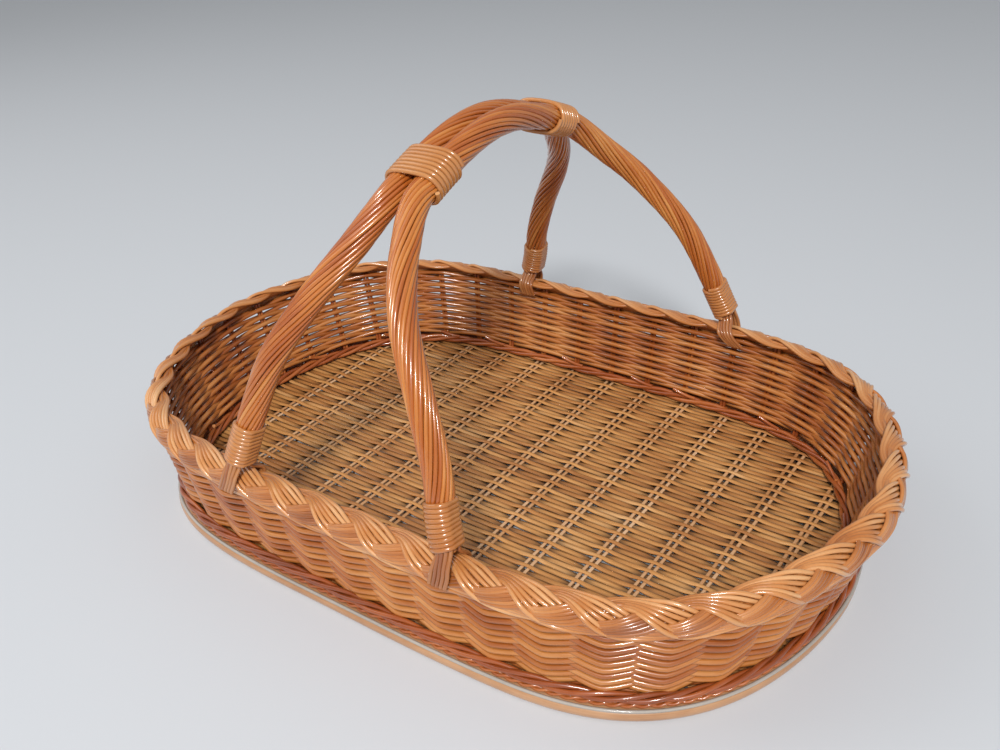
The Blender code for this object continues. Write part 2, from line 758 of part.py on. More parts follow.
def main():
    clear_scene()
    tray = new_collection("wicker_tray")
    cutters = new_collection("cutters")
    mat_finish = willow("mat_willow", (0.46, 0.25, 0.09), 0.45)
    stick_finish = willow("stick_willow", (0.55, 0.33, 0.15), 0.45)
    wall_finish = willow("wall_willow", (0.42, 0.15, 0.04), 0.32)
    band_finish = willow("band_willow", (0.36, 0.10, 0.03), 0.35)
    hoop_finish = willow("hoop_willow", (0.50, 0.24, 0.09), 0.40)
    border_finish = willow("border_willow", (0.50, 0.19, 0.05), 0.28)
    bow_finish = willow("bow_willow", (0.55, 0.23, 0.06), 0.25)
    binding_finish = willow("binding_willow", (0.58, 0.24, 0.07), 0.25)
    tail_finish = willow("tail_willow", (0.44, 0.18, 0.06), 0.30)

    foot_hoop(tray, hoop_finish)
    base_weave(tray, cutters, mat_finish)
    base_sticks(tray, stick_finish)
    upsett_band(tray, band_finish)
    side_weave(tray, wall_finish)
    border_strands(tray, border_finish)

    paths = {"left": bow_path(NEAR_LEFT_FOOT, FAR_LEFT_FOOT, -1),
             "right": bow_path(NEAR_RIGHT_FOOT, FAR_RIGHT_FOOT, 1)}
    for side, path in paths.items():
        roped_bow(f"{side}_bow", path, tray, bow_finish)
        for end in ("near", "far"):
            leg_binding(f"{end}_{side}_binding", path, end == "far", tray, binding_finish)
            for face in ("outer", "inner"):
                rod_tail(f"{end}_{side}_{face}_tail", path, end == "far", face == "outer",
                         tray, tail_finish)
    middle = pair_path()
    top_binding("near_top_binding", middle, NEAR_TOP_TURNS, -1, tray, binding_finish)
    top_binding("far_top_binding", middle, FAR_TOP_TURNS, 1, tray, binding_finish)


main()
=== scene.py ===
import math

import bpy
import numpy as np
from mathutils import Matrix, Vector


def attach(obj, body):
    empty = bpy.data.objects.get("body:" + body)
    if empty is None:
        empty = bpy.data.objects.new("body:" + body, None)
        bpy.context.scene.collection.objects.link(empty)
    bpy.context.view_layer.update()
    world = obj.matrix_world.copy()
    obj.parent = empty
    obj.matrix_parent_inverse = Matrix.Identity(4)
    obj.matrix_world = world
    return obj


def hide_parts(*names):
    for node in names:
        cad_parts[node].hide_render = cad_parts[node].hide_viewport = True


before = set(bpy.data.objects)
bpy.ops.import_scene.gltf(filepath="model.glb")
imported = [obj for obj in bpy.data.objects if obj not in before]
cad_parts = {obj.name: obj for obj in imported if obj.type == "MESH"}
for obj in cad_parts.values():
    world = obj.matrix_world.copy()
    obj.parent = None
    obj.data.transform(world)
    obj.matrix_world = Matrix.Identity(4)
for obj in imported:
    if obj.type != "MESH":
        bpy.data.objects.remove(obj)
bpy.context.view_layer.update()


# The foot hoop: one thick round willow rod, bent into the outline of the tray, that the
# whole tray stands on. It is varnished with the rest. A thin peeled rod lies in the groove
# between the hoop and the weave above it.

FOOT_HALF_LENGTH = 0.2500
FOOT_HALF_WIDTH = 0.1680
RIM_HALF_LENGTH = 0.2685
RIM_HALF_WIDTH = 0.1700
RIM_HEIGHT = 0.0778
RIM_END_RISE = 0.0036
FOOT_POWERS = (4.7, 1.85)
RIM_POWERS = (4.8, 1.6)
OUTLINE_SAMPLES = 4000
LEVELS = np.linspace(-0.05, 1.35, 36)
STAKE_COUNT = 42
HOOP_THICKNESS = 0.0085
HOOP_STATIONS = 336
GROOVE_ROD_THICKNESS = 0.0022
GROOVE_ROD_OFFSET = 0.0024
GROOVE_ROD_HEIGHT = 0.0084
GROOVE_ROD_SHADE = 0.9
HOOP_SHADE = 0.55
HOOP_GIRTH_DRIFT = 0.02
ROD_DRIFT = 0.0003
GIRTH_DRIFT = 0.05
CUT_END_SHADE = 0.4
SHARP_ANGLE = math.radians(50.0)
SEED = 42

# Streaks about 45 mm long and 0.5 mm wide, blotches about 12 mm long, and patches about
# 60 mm wide. A depth says how far a pattern moves the colour along its shades. The share
# for painted shade is how much of the colour is left where a weave lies lowest.
STREAK_SCALE = (22.0, 2000.0, 1.0)
BLOTCH_SCALE = (85.0, 260.0, 1.0)
BLOTCH_DEPTH = 0.35
PATCH_SCALE = 16.0
PATCH_DEPTH = 0.7
PAINTED_SHADE_SHARE = 0.16
GRAIN_STRENGTH = 0.25
GRAIN_HEIGHT = 0.0003
DULLING = 0.18
VARNISH_IOR = 1.5
VARNISH_ROUGHNESS = 0.10

random = np.random.default_rng(SEED)


def colour(code):
    """A written sRGB colour as the linear one that a shader takes."""
    parts = [int(code[k:k + 2], 16) / 255 for k in (1, 3, 5)]
    return (*(p / 12.92 if p <= 0.04045 else ((p + 0.055) / 1.055) ** 2.4 for p in parts), 1.0)


def add_node(tree, kind, settings, links):
    """A node with its settings, and each of its inputs set to a value or joined to an output."""
    node = tree.nodes.new(kind)
    for name, value in settings.items():
        setattr(node, name, value)
    for name, value in links.items():
        if isinstance(value, bpy.types.NodeSocket):
            tree.links.new(value, node.inputs[name])
        else:
            node.inputs[name].default_value = value
    return node


def varnished_willow(name, shades, roughness, streak_depth, coat=0.8, painted_shade_heights=None):
    """Stripped willow rod under a thin clear varnish.

    Each rod has a shade of its own, long faint streaks run along it, and the stain is
    deeper in broad patches. The varnish gives a sharp bright line along a rod, over a
    softer sheen. shades run from the deepest to the palest. The last argument, when given,
    is two heights between which painted shade darkens the colour, deepest at and below the
    lower one, so that the low places of a flat weave look shaded.
    """
    material = bpy.data.materials.new(name)
    material.use_nodes = True
    tree = material.node_tree
    shader = tree.nodes["Principled BSDF"]
    along = add_node(tree, "ShaderNodeUVMap", {"uv_map": "UVMap"}, {})
    stretch = add_node(tree, "ShaderNodeMapping", {},
                       {"Vector": along.outputs["UV"], "Scale": STREAK_SCALE})
    streaks = add_node(tree, "ShaderNodeTexNoise", {},
                       {"Vector": stretch.outputs["Vector"], "Scale": 1.0, "Detail": 3.0,
                        "Roughness": 0.6})
    # Blotches where the bark came off unevenly
    blotch_stretch = add_node(tree, "ShaderNodeMapping", {},
                              {"Vector": along.outputs["UV"], "Scale": BLOTCH_SCALE})
    blotches = add_node(tree, "ShaderNodeTexNoise", {},
                        {"Vector": blotch_stretch.outputs["Vector"], "Scale": 1.0, "Detail": 2.0})
    # Stain that lies deeper in patches
    place = add_node(tree, "ShaderNodeTexCoord", {}, {})
    patches = add_node(tree, "ShaderNodeTexNoise", {},
                       {"Vector": place.outputs["Object"], "Scale": PATCH_SCALE, "Detail": 1.0})
    shade = add_node(tree, "ShaderNodeAttribute", {"attribute_name": "shade"}, {})
    with_streaks = add_node(tree, "ShaderNodeMath", {"operation": "MULTIPLY_ADD"},
                            {0: streaks.outputs["Fac"], 1: streak_depth,
                             2: shade.outputs["Fac"]})
    with_blotches = add_node(tree, "ShaderNodeMath", {"operation": "MULTIPLY_ADD"},
                             {0: blotches.outputs["Fac"], 1: BLOTCH_DEPTH,
                              2: with_streaks.outputs["Value"]})
    with_patches = add_node(tree, "ShaderNodeMath", {"operation": "MULTIPLY_ADD"},
                            {0: patches.outputs["Fac"], 1: PATCH_DEPTH,
                             2: with_blotches.outputs["Value"]})
    centred = add_node(tree, "ShaderNodeMath", {"operation": "SUBTRACT"},
                       {0: with_patches.outputs["Value"],
                        1: (BLOTCH_DEPTH + PATCH_DEPTH + streak_depth) / 2})
    ramp = add_node(tree, "ShaderNodeValToRGB", {}, {"Fac": centred.outputs["Value"]})
    stops = ramp.color_ramp.elements
    for k, code in enumerate(shades):
        stop = stops[k] if k < 2 else stops.new(1.0)
        stop.position = k / (len(shades) - 1)
        stop.color = colour(code)
    relief = add_node(tree, "ShaderNodeBump", {},
                      {"Height": streaks.outputs["Fac"], "Strength": GRAIN_STRENGTH,
                       "Distance": GRAIN_HEIGHT})
    dulling = add_node(tree, "ShaderNodeMapRange", {},
                       {"Value": blotches.outputs["Fac"], "To Min": roughness,
                        "To Max": roughness + DULLING})
    tinted = ramp.outputs["Color"]
    # Painted shade: the lower a point of the weave lies, the darker its colour.
    if painted_shade_heights:
        height = add_node(tree, "ShaderNodeSeparateXYZ", {}, {"Vector": place.outputs["Object"]})
        depth = add_node(tree, "ShaderNodeMapRange", {},
                         {"Value": height.outputs["Z"], "From Min": painted_shade_heights[0],
                          "From Max": painted_shade_heights[1], "To Min": PAINTED_SHADE_SHARE, "To Max": 1.0})
        with_painted_shade = add_node(tree, "ShaderNodeVectorMath", {"operation": "SCALE"},
                            {0: tinted, "Scale": depth.outputs["Result"]})
        tinted = with_painted_shade.outputs["Vector"]
    tree.links.new(tinted, shader.inputs["Base Color"])
    tree.links.new(dulling.outputs["Result"], shader.inputs["Roughness"])
    tree.links.new(relief.outputs["Normal"], shader.inputs["Normal"])
    shader.inputs["IOR"].default_value = VARNISH_IOR
    shader.inputs["Coat Weight"].default_value = coat
    shader.inputs["Coat Roughness"].default_value = VARNISH_ROUGHNESS
    return material


def outline(level):
    """Share of the way round, x, y and the outward way of the tray's outline at one level."""
    half_length, half_width = (foot + (rim - foot) * level for foot, rim in
                               ((FOOT_HALF_LENGTH, RIM_HALF_LENGTH),
                                (FOOT_HALF_WIDTH, RIM_HALF_WIDTH)))
    side, end = (foot + (rim - foot) * level for foot, rim in zip(FOOT_POWERS, RIM_POWERS))
    angle = np.linspace(-math.pi / 2, 3 * math.pi / 2, OUTLINE_SAMPLES + 1)
    cosine, sine = np.cos(angle), np.sin(angle)
    x = half_length * np.sign(cosine) * np.abs(cosine) ** (2 / side)
    y = half_width * np.sign(sine) * np.abs(sine) ** (2 / end)
    out_x = np.sign(x) * np.abs(x / half_length) ** (side - 1) * side / half_length
    out_y = np.sign(y) * np.abs(y / half_width) ** (end - 1) * end / half_width
    size = np.hypot(out_x, out_y)
    run = np.concatenate(([0.0], np.cumsum(np.hypot(np.diff(x), np.diff(y)))))
    return np.column_stack((run / run[-1], x, y, out_x / size, out_y / size))


outlines = [outline(level) for level in LEVELS]


def tray_frame(shares, heights):
    """Points of the tray's outline and its outward ways, at shares of the way round."""
    shares, heights = np.broadcast_arrays(np.asarray(shares, float), np.asarray(heights, float))
    turn = shares % 1.0
    columns = np.array([[np.interp(turn, table[:, 0], table[:, k]) for table in outlines]
                        for k in range(1, 5)])
    level = heights / RIM_HEIGHT
    spot = (level - LEVELS[0]) / (LEVELS[1] - LEVELS[0])
    low = np.clip(spot.astype(int), 0, len(LEVELS) - 2)
    part = spot - low
    each = np.arange(len(turn))
    x, y, out_x, out_y = columns[:, low, each] * (1 - part) + columns[:, low + 1, each] * part
    rise = RIM_END_RISE * (x / RIM_HALF_LENGTH) ** 2 * level ** 2
    size = np.hypot(out_x, out_y)
    outward = np.column_stack((out_x / size, out_y / size, np.zeros(len(turn))))
    return np.column_stack((x, y, heights + rise)), outward


def round_tray(shares, heights, offsets):
    """Points that lie offsets outside the tray's outline."""
    points, outward = tray_frame(shares, heights)
    return points + outward * np.broadcast_to(offsets, (len(points),))[:, None]


def wander(places, size, waves=(3, 7, 13)):
    """A smooth small drift along a rod, as a bent rod has. It closes on a full turn."""
    drift = np.zeros(len(places))
    for wave in waves:
        drift += np.sin(2 * math.pi * (wave * places + random.random())) / len(waves)
    return drift * size


def lay_rods(name, rods, thickness, material, rounding=2):
    """One mesh of round rods, each with a shade of its own and a UV map in metres.

    A rod is its points, whether it is a ring, its girth as a share of the thickness, and
    its shade from 0 to 1. Girth and shade may change along it. Its cut ends are paler.
    """
    bend = bpy.data.curves.new(name, "CURVE")
    bend.dimensions = "3D"
    bend.bevel_depth = thickness / 2
    bend.bevel_resolution = rounding
    bend.use_fill_caps = True
    sides = 4 + 2 * rounding
    wall_faces, cap_faces, lengths, wall_shades, cap_shades = [], [], [], [], []
    for points, ring, girth, shade in rods:
        spline = bend.splines.new("POLY")
        spline.points.add(len(points) - 1)
        spline.points.foreach_set("co", np.column_stack((points, np.ones(len(points)))).ravel())
        spline.points.foreach_set("radius", np.broadcast_to(girth, (len(points),)).astype(float))
        spline.use_cyclic_u = ring
        steps = len(points) if ring else len(points) - 1
        wall_faces.append(sides * steps)
        cap_faces.append(0 if ring else 2 * (sides - 2))
        lengths.append(np.linalg.norm(np.diff(points, axis=0), axis=1).sum())
        wall_shades.append(np.repeat(np.broadcast_to(shade, (len(points),))[:steps], sides))
        cap_shades.append(np.full(cap_faces[-1], np.mean(shade) + CUT_END_SHADE))
    holder = bpy.data.objects.new(name, bend)
    bpy.context.scene.collection.objects.link(holder)
    bpy.context.view_layer.update()
    mesh = bpy.data.meshes.new_from_object(
        holder.evaluated_get(bpy.context.evaluated_depsgraph_get()))
    bpy.data.objects.remove(holder)
    bpy.data.curves.remove(bend)
    order = np.arange(len(rods))
    rod_of_face = np.concatenate((np.repeat(order[::-1], cap_faces[::-1]),
                                  np.repeat(order, wall_faces)))
    mesh.attributes.new("shade", "FLOAT", "FACE").data.foreach_set(
        "value", np.concatenate(cap_shades[::-1] + wall_shades).astype(np.float32))
    sizes = np.zeros(len(mesh.polygons), np.int32)
    mesh.polygons.foreach_get("loop_total", sizes)
    rod_of_loop = np.repeat(rod_of_face, sizes)
    layer = mesh.uv_layers[0]
    layer.name = "UVMap"
    spread = np.zeros(len(mesh.loops) * 2, np.float32)
    layer.data.foreach_get("uv", spread)
    spread = spread.reshape(-1, 2)
    spread[:, 0] = (spread[:, 0] + rod_of_loop) * np.array(lengths)[rod_of_loop]
    spread[:, 1] *= math.pi * thickness
    layer.data.foreach_set("uv", spread.ravel())
    mesh.set_sharp_from_angle(angle=SHARP_ANGLE)
    mesh.materials.clear()
    mesh.materials.append(material)
    piece = bpy.data.objects.new(name, mesh)
    bpy.context.scene.collection.objects.link(piece)
    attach(piece, "root")
    return piece


hoop_willow = varnished_willow(
    "varnished_willow_hoop", ("#80502d", "#a6744b", "#be8f67", "#d2a985"),
    roughness=0.32, streak_depth=0.5)
turns = np.arange(HOOP_STATIONS) / HOOP_STATIONS
hoop_girth = 1 + wander(turns, HOOP_GIRTH_DRIFT)
hoop = lay_rods("hoop_rod",
                [(round_tray(turns, np.full(HOOP_STATIONS, HOOP_THICKNESS / 2),
                             wander(turns, ROD_DRIFT)), True, hoop_girth, HOOP_SHADE)],
                HOOP_THICKNESS, hoop_willow, rounding=6)
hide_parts("foot_hoop")

peeled_willow = varnished_willow(
    "peeled_white_willow", ("#5f574e", "#7f766c", "#988f84", "#b0a89e"),
    roughness=0.40, streak_depth=0.4)
groove_course = round_tray(turns, GROOVE_ROD_HEIGHT + wander(turns, ROD_DRIFT),
                           GROOVE_ROD_OFFSET + wander(turns, ROD_DRIFT))
groove_rod = lay_rods("groove_rod", [(groove_course, True, 1.0, GROOVE_ROD_SHADE)],
                      GROOVE_ROD_THICKNESS, peeled_willow)


# The mat: long willow rods woven close together over and under thirteen pairs of cross
# sticks. The rods lie along the tray, each one over the pairs that its neighbours pass under.
# The mat is paler and more golden than the wall, because the varnish on it is thin.

STICK_PAIR_COUNT = 13
STICK_PAIR_LAST = 0.2100
STICK_WIDTH = 0.0026
STICK_FLATNESS = 0.6
STICK_SPACING = 0.0044
STICK_STATIONS = 24
STICK_DRIFT = 0.0004
STICK_GIRTH_DRIFT = 0.04
STICK_WAVES = (1, 2)
STICK_SHADES = (0.3, 0.9)
PLACE_SPREAD = 0.0002
END_ROOM = 0.001
MAT_MIDDLE = 0.0073
MAT_EDGE = 0.0055
MAT_ROD_WIDTH = 0.0047
MAT_ROD_FLATNESS = 0.42
MAT_RISE = 0.0014
MAT_RISE_STEEPNESS = 4.0
MAT_DIP = 0.0012
MAT_DIP_STEEPNESS = 2.6
# Painted shade darkens the mat's rods where they lie below these heights above its middle.
MAT_PAINTED_SHADE_RISES = (0.0001, 0.0009)
MAT_SQUEEZE = 0.36
MAT_SPREAD = 0.45
MAT_ROW_PITCH = 0.00455
MAT_WAVES = (2, 5)
MAT_GIRTH_WAVES = (1, 3)
MIDDLE_SHADES = (0.3, 0.7)
MAT_STATION_SHARES = (0.0, 0.07, 0.14, 0.21, 0.32, 0.5, 0.68, 0.79, 0.86, 0.93)

# The mat's colour has painted shade where its rods dip low between the sticks.
mat_willow = varnished_willow(
    "thinly_varnished_willow_mat", ("#865127", "#b2753d", "#ce9353", "#e3b47e"),
    roughness=0.36, streak_depth=0.7, coat=0.2,
    painted_shade_heights=[MAT_MIDDLE + rise for rise in MAT_PAINTED_SHADE_RISES])
stick_willow = varnished_willow(
    "peeled_willow_sticks", ("#a87448", "#c08a58", "#d2a274", "#e0b890"),
    roughness=0.36, streak_depth=0.5)
foot_line = outline(0.0)
far_half = foot_line[foot_line[:, 2] >= 0.0]
inner_x = far_half[:, 1] - far_half[:, 3] * MAT_EDGE
inner_y = far_half[:, 2] - far_half[:, 4] * MAT_EDGE
pair_places = np.linspace(-STICK_PAIR_LAST, STICK_PAIR_LAST, STICK_PAIR_COUNT)
pair_pitch = pair_places[1] - pair_places[0]


def press_flat(piece, flatness):
    """Press round rods that lie about the ground plane oval, and lift them to the mat."""
    piece.data.transform(Matrix.Diagonal((1.0, 1.0, flatness, 1.0)))
    piece.data.transform(Matrix.Translation((0.0, 0.0, MAT_MIDDLE)))


sticks = []
by_x = np.argsort(inner_x)
for place in pair_places:
    for side in (-1, 1):
        x = place + side * STICK_SPACING / 2 + random.normal(0.0, PLACE_SPREAD)
        reach = np.interp(abs(x) + STICK_WIDTH, inner_x[by_x], inner_y[by_x]) - END_ROOM
        y = np.linspace(-reach, reach, STICK_STATIONS)
        bend = wander(y / (2 * reach), STICK_DRIFT, STICK_WAVES)
        points = np.column_stack((x + bend, y, np.zeros(len(y))))
        girth = 1 + wander(y / (2 * reach), STICK_GIRTH_DRIFT, STICK_WAVES)
        sticks.append((points, False, girth, random.uniform(*STICK_SHADES)))
cross_sticks = lay_rods("cross_sticks", sticks, STICK_WIDTH, stick_willow, rounding=3)
press_flat(cross_sticks, STICK_FLATNESS)
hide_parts(*[f"base_stick_{k:02d}" for k in range(1, 2 * STICK_PAIR_COUNT + 1)])

mat_rods = []
row_count = int(2 * inner_y.max() / MAT_ROW_PITCH)
first_row = -(row_count - 1) / 2 * MAT_ROW_PITCH
right_half = inner_x >= 0.0
mat_stations = (pair_places[0] + pair_pitch * np.add.outer(
    np.arange(-1, STICK_PAIR_COUNT), MAT_STATION_SHARES).ravel())
for row in range(row_count):
    y_row = first_row + row * MAT_ROW_PITCH
    near_y = np.argsort(inner_y[right_half])
    reach = np.interp(abs(y_row), inner_y[right_half][near_y], inner_x[right_half][near_y])
    inside = mat_stations[np.abs(mat_stations) < reach - END_ROOM]
    x = np.concatenate(([-reach], inside, [reach]))
    wave = np.cos(math.pi * ((x - pair_places[0]) / pair_pitch + row))
    rise = np.maximum(wave, 0.0) ** MAT_RISE_STEEPNESS
    dip = np.maximum(-wave, 0.0) ** MAT_DIP_STEEPNESS
    y = (y_row + wander(x / (2 * reach), ROD_DRIFT, MAT_WAVES)
         + random.normal(0.0, PLACE_SPREAD))
    points = np.column_stack((x, y, (MAT_RISE * rise - MAT_DIP * dip) / MAT_ROD_FLATNESS))
    girth = ((1 + wander(x / (2 * reach), GIRTH_DRIFT, MAT_GIRTH_WAVES))
             * (1 - MAT_SQUEEZE * rise + MAT_SPREAD * dip))
    mat_rods.append((points, False, girth, random.uniform(*MIDDLE_SHADES)))
mat = lay_rods("mat_rods", mat_rods, MAT_ROD_WIDTH, mat_willow)
press_flat(mat, MAT_ROD_FLATNESS)
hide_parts("base_weave")


# The waling: rods laid three at a time round the edge of the base, which twist like a rope
# as they pass before and behind the stakes. They hold the mat's edge down, turn the base up
# into the wall and are stained the deepest red-brown of all.

WALE_ROD_THICKNESS = 0.0032
WALE_RODS = 3
WALE_PERIOD = 2
WALE_COURSES = ((-0.0014, 0.0154, 0.4), (-0.0114, 0.0134, 0.1))
WALE_STATIONS = 420
WALE_ROOM = 1.02
WALE_SHADES = (0.1, 0.8)
TWINE_THICKNESS = 0.0020
TWINE_RODS = 2
TWINE_PERIOD = 0.5
TWINE_PLACE = (-0.0006, 0.0106)
TWINE_STATIONS = 1008
BUTT_COUNT = 22
BUTT_THICKNESS = 0.0027
BUTT_REACH = 0.0130
BUTT_HEIGHT = 0.0168
BUTT_RISE = 0.0050
BUTT_OFFSET = -0.0125
BUTT_STAND_OFF = 0.0022
BUTT_STATIONS = 6
BUTT_PLACES = (0.2, 0.8)
BUTT_GIRTHS = (0.85, 1.05)

waling_willow = varnished_willow(
    "varnished_willow_waling", ("#763410", "#9a4a1b", "#b5652f", "#cb844b"),
    roughness=0.28, streak_depth=0.5)
wale_turns = np.arange(WALE_STATIONS) / WALE_STATIONS
wale_swing = WALE_ROD_THICKNESS / math.sqrt(3) * WALE_ROOM
wales = []
for offset, height, start in WALE_COURSES:
    for rod in range(WALE_RODS):
        twist = 2 * math.pi * (wale_turns * STAKE_COUNT / WALE_PERIOD + rod / WALE_RODS + start)
        points = round_tray(wale_turns,
                            height + wale_swing * np.sin(twist) + wander(wale_turns, ROD_DRIFT),
                            offset + wale_swing * np.cos(twist) + wander(wale_turns, ROD_DRIFT))
        girth = 1 + wander(wale_turns, GIRTH_DRIFT)
        wales.append((points, True, girth, random.uniform(*WALE_SHADES)))
waling = lay_rods("waling_rods", wales, WALE_ROD_THICKNESS, waling_willow)
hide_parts("upsett_band")

# The lowest row is twined from two thinner rods with a short turn, just above the hoop.
twine_turns = np.arange(TWINE_STATIONS) / TWINE_STATIONS
twine_swing = TWINE_THICKNESS / 2
twines = []
for rod in range(TWINE_RODS):
    twist = 2 * math.pi * (twine_turns * STAKE_COUNT / TWINE_PERIOD + rod / TWINE_RODS)
    points = round_tray(twine_turns, TWINE_PLACE[1] + twine_swing * np.sin(twist),
                        TWINE_PLACE[0] + twine_swing * np.cos(twist))
    twines.append((points, True, 1.0, random.uniform(*MIDDLE_SHADES)))
twine = lay_rods("twined_rods", twines, TWINE_THICKNESS, waling_willow)

# Where a waling rod gives out, its butt stands off a little on the inside.
butts = []
for butt in range(BUTT_COUNT):
    share = (butt + random.uniform(*BUTT_PLACES)) / BUTT_COUNT
    along = np.linspace(0.0, 1.0, BUTT_STATIONS)
    points = round_tray(share + BUTT_REACH * along, BUTT_HEIGHT + BUTT_RISE * along ** 2,
                        BUTT_OFFSET - BUTT_STAND_OFF * along ** 2)
    butts.append((points, False, random.uniform(*BUTT_GIRTHS), random.uniform(*MIDDLE_SHADES)))
butt_ends = lay_rods("rod_butts", butts, BUTT_THICKNESS, waling_willow)


# The stakes: thin rods that stand in pairs round the wall, with their feet pushed into the
# waling and their tips turned into the border. They show only between the wall's rods, and
# are stained as deep as the waling.

STAKE_THICKNESS = 0.0026
STAKE_SPACING = 0.0027
STAKE_BOTTOM = 0.0150
STAKE_TOP = 0.0735
WALL_FOOT_INSET = 0.0095
STAKE_STATIONS = 12
STAKE_SHADES = (0.2, 0.7)
LENGTH_ROUND_TRAY = 1.47

stakes = []
for stake in range(STAKE_COUNT):
    for side in (-1, 1):
        heights = np.linspace(STAKE_BOTTOM, STAKE_TOP, STAKE_STATIONS)
        share = stake / STAKE_COUNT + side * STAKE_SPACING / 2 / LENGTH_ROUND_TRAY
        lean = -WALL_FOOT_INSET * (1 - heights / RIM_HEIGHT)
        points = round_tray(np.full(STAKE_STATIONS, share), heights, lean)
        stakes.append((points, False, 1.0, random.uniform(*STAKE_SHADES)))
wall_stakes = lay_rods("wall_stakes", stakes, STAKE_THICKNESS, waling_willow)


# The wall: thin rods woven singly round the stakes, before one pair and behind the next.
# They run straight from stake to stake, and lie lower on the outside than on the inside.

WALL_ROD_THICKNESS = 0.0036
WALL_ROWS = 20
WALL_FIRST_ROW = 0.0185
WALL_LAST_ROW = 0.0705
WALL_SWING = 0.0034
WALL_OUTER_DROP = 0.0023
WALL_BEND_SHARPNESS = 0.97
WALL_STATIONS = 10 * STAKE_COUNT
WALL_DRIFT = 0.0004
WALL_WAVES = (3, 7, 19)
WALL_GIRTH_DRIFT = 0.06

wall_willow = varnished_willow(
    "varnished_willow_wall", ("#783714", "#a15722", "#bc7537", "#d3975b"),
    roughness=0.24, streak_depth=0.5)
wall_pitch = (WALL_LAST_ROW - WALL_FIRST_ROW) / (WALL_ROWS - 1)
wall_turns = np.arange(WALL_STATIONS) / WALL_STATIONS
wall_rods = []
for row in range(WALL_ROWS):
    phase = math.pi * (wall_turns * STAKE_COUNT + row)
    out = np.arcsin(WALL_BEND_SHARPNESS * np.cos(phase)) / math.asin(WALL_BEND_SHARPNESS)
    heights = (WALL_FIRST_ROW + row * wall_pitch - WALL_OUTER_DROP * out
               + wander(wall_turns, WALL_DRIFT, WALL_WAVES))
    lean = -WALL_FOOT_INSET * (1 - heights / RIM_HEIGHT)
    points = round_tray(wall_turns, heights, lean + WALL_SWING * out)
    girth = 1 + wander(wall_turns, WALL_GIRTH_DRIFT)
    wall_rods.append((points, True, girth, random.uniform(*MIDDLE_SHADES)))
wall = lay_rods("wall_rods", wall_rods, WALL_ROD_THICKNESS, wall_willow)
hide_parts("side_weave")


# The border: a flat plait of three strands that closes the wall. A strand is six thin rods
# side by side, which run from the inner edge down to the outer one and back beneath.

STRAND_COUNT = 3
STRAND_RODS = 6
STRAND_ROD_THICKNESS = 0.0027
STRAND_ROD_PITCH = 0.0026
STRAND_CROWN = 0.0004
STRAND_SPREAD = 0.20
STRAND_GATHER = 0.45
PLAIT_REACH = 0.0068
PLAIT_LEAN = 0.28
PLAIT_LIFT = 0.0020
PLAIT_ROOF = 0.0030
PLAIT_TILT = math.radians(45.0)
PLAIT_STATIONS = 504
PLAIT_WAVES = (5, 11, 23)
PLAIT_LIFT_DRIFT = 0.0002
LEAF_SHADE = 0.24
PLAIT_CORE_PLACES = (-0.0060, -0.0030, 0.0, 0.0030, 0.0060)
PLAIT_CORE_THICKNESS = 0.0030
PLAIT_CORE_DEPTH = 0.0022
PLAIT_CORE_DRIFT = 0.0004
PLAIT_CORE_SHADES = (0.2, 0.6)

border_willow = varnished_willow(
    "varnished_willow_border", ("#925122", "#b76f35", "#cd8a4f", "#e0aa74"),
    roughness=0.22, streak_depth=0.5)


def unit(ways):
    """Ways of length one."""
    return ways / np.linalg.norm(ways, axis=1)[:, None]


plait_turns = np.arange(PLAIT_STATIONS) / PLAIT_STATIONS
plait_middle, plait_outward = tray_frame(plait_turns, np.full(PLAIT_STATIONS, RIM_HEIGHT))
upward = np.array((0.0, 0.0, 1.0))
plait_across = plait_outward * math.cos(PLAIT_TILT) - upward * math.sin(PLAIT_TILT)
plait_facing = plait_outward * math.sin(PLAIT_TILT) + upward * math.cos(PLAIT_TILT)
for strand in range(STRAND_COUNT):
    twist = 2 * math.pi * (plait_turns * STAKE_COUNT + strand) / STRAND_COUNT
    swing = np.sin(twist) + PLAIT_LEAN * np.cos(twist) ** 2
    drop = PLAIT_LIFT * np.sin(2 * twist) + PLAIT_ROOF * swing ** 2
    course = (plait_middle + plait_across * (PLAIT_REACH * swing)[:, None]
              - plait_facing * drop[:, None])
    forward = unit(np.roll(course, -1, axis=0) - np.roll(course, 1, axis=0))
    slope = np.arctan(2 * PLAIT_ROOF * swing / PLAIT_REACH)[:, None]
    face = plait_facing * np.cos(slope) + plait_across * np.sin(slope)
    face = unit(face - forward * (face * forward).sum(axis=1)[:, None])
    wide = np.cross(forward, face)
    rods = []
    for rod in range(STRAND_RODS):
        side = (rod - (STRAND_RODS - 1) / 2) * STRAND_ROD_PITCH
        lift = STRAND_CROWN * (1 - (2 * side / STRAND_ROD_PITCH / (STRAND_RODS - 1)) ** 2)
        sideways = (side * (1 + STRAND_SPREAD * np.cos(twist)
                            - STRAND_GATHER * np.sin(twist) ** 2)
                    + wander(plait_turns, ROD_DRIFT, PLAIT_WAVES))
        upwards = lift + wander(plait_turns, PLAIT_LIFT_DRIFT, PLAIT_WAVES)
        points = course + wide * sideways[:, None] + face * upwards[:, None]
        # Each strand is paler where it runs outward across the border and darker where it runs
        # back.
        shade = random.uniform(*MIDDLE_SHADES) + LEAF_SHADE * np.cos(twist)
        rods.append((points, True, 1 + wander(plait_turns, GIRTH_DRIFT), shade))
    piece = lay_rods(f"plait_rods_{strand + 1}", rods, STRAND_ROD_THICKNESS, border_willow)
    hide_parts(f"border_strand_{strand + 1}")

